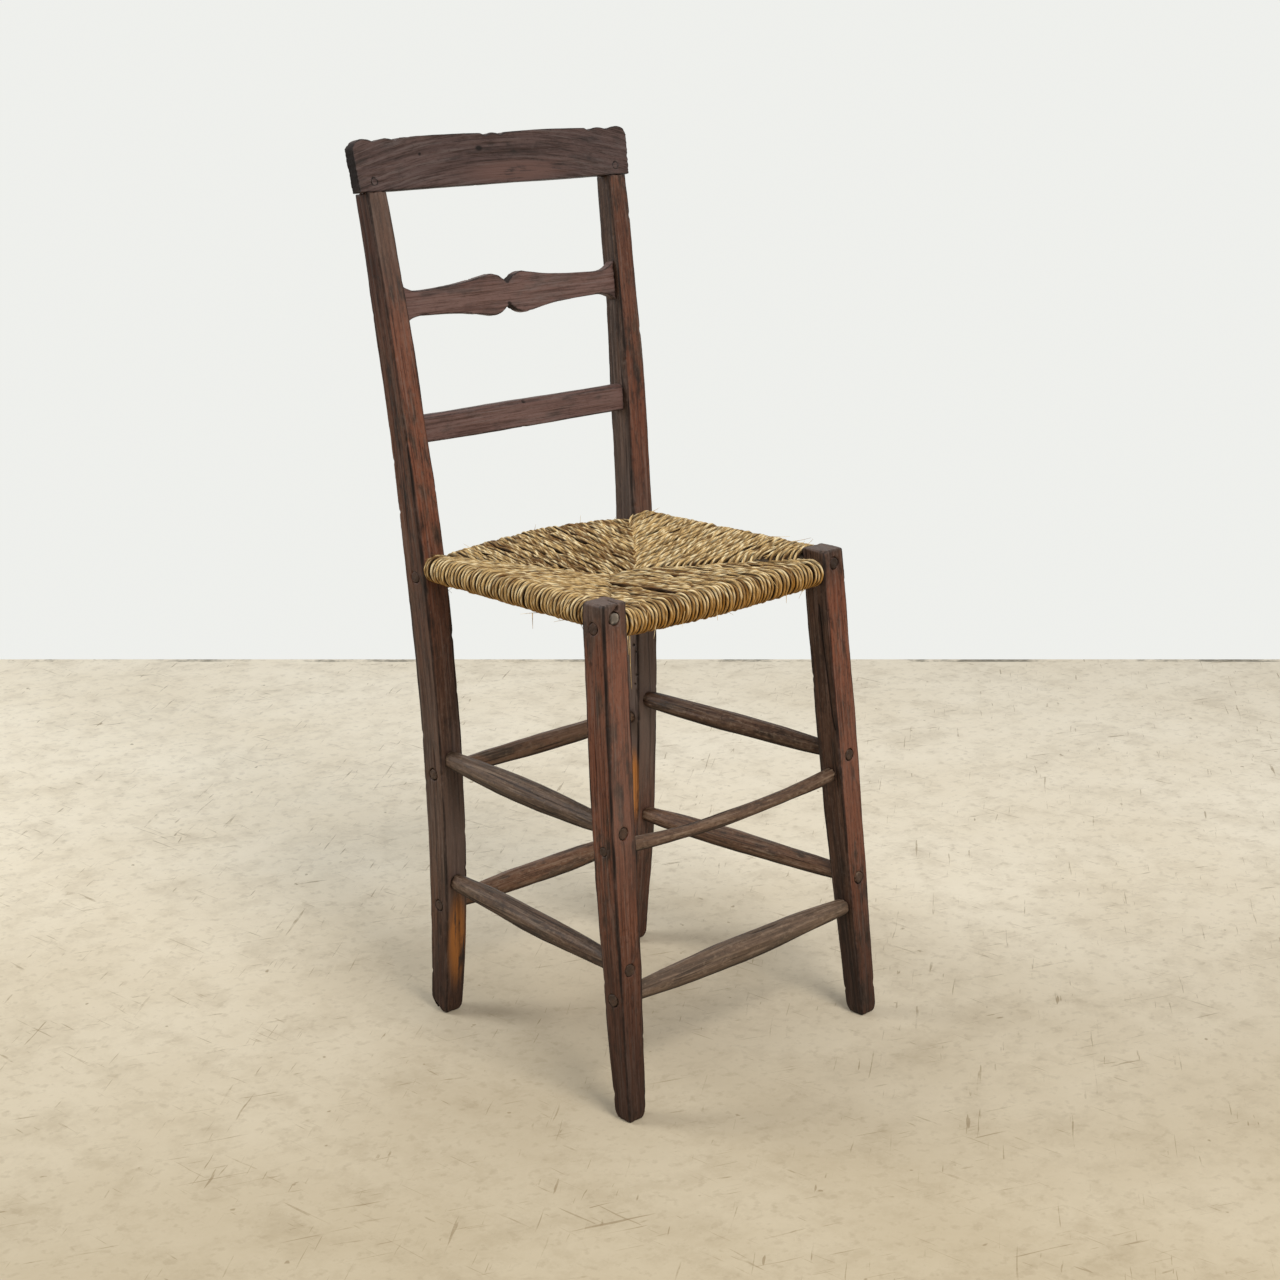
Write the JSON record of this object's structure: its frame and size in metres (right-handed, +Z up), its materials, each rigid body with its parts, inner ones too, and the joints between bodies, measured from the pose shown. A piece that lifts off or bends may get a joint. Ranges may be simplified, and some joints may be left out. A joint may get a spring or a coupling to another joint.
{
  "type": "high chair",
  "caption": "Tall ladder-back wooden chair with a woven rush seat, splayed tapered legs, round stretchers, a shaped back rail and a scalloped crest board; unarmed, free-standing.",
  "frame": {"origin": "on the floor under the middle of the chair's bounding box", "axes": "+Z up, -Y the way a sitter faces, +X to the sitter's left"},
  "size_m": [0.4706, 0.5042, 1.1589],
  "materials": {
    "dark_wood": "old dark red-brown stain, worn satin",
    "weathered_wood": "grey-brown, weathered and worn matt",
    "rush": "twisted dry rush cord, matt straw"
  },
  "bodies": {
    "root": {"crest_board": "dark_wood", "crest_pegs": "dark_wood", "front_leg_left": "dark_wood", "front_leg_right": "dark_wood", "lower_back_rail": "dark_wood", "rear_post_left": "dark_wood", "rear_post_right": "dark_wood", "rush_seat": "rush", "rush_stuffing": "rush", "seat_rail_front": "dark_wood", "seat_rail_left": "dark_wood", "seat_rail_rear": "dark_wood", "seat_rail_right": "dark_wood", "shaped_back_rail": "dark_wood", "stretcher_front_lower": "weathered_wood", "stretcher_front_upper": "weathered_wood", "stretcher_left_lower": "weathered_wood", "stretcher_left_upper": "weathered_wood", "stretcher_rear_lower": "weathered_wood", "stretcher_rear_upper": "weathered_wood", "stretcher_right_lower": "weathered_wood", "stretcher_right_upper": "weathered_wood"}
  },
  "joints": []
}
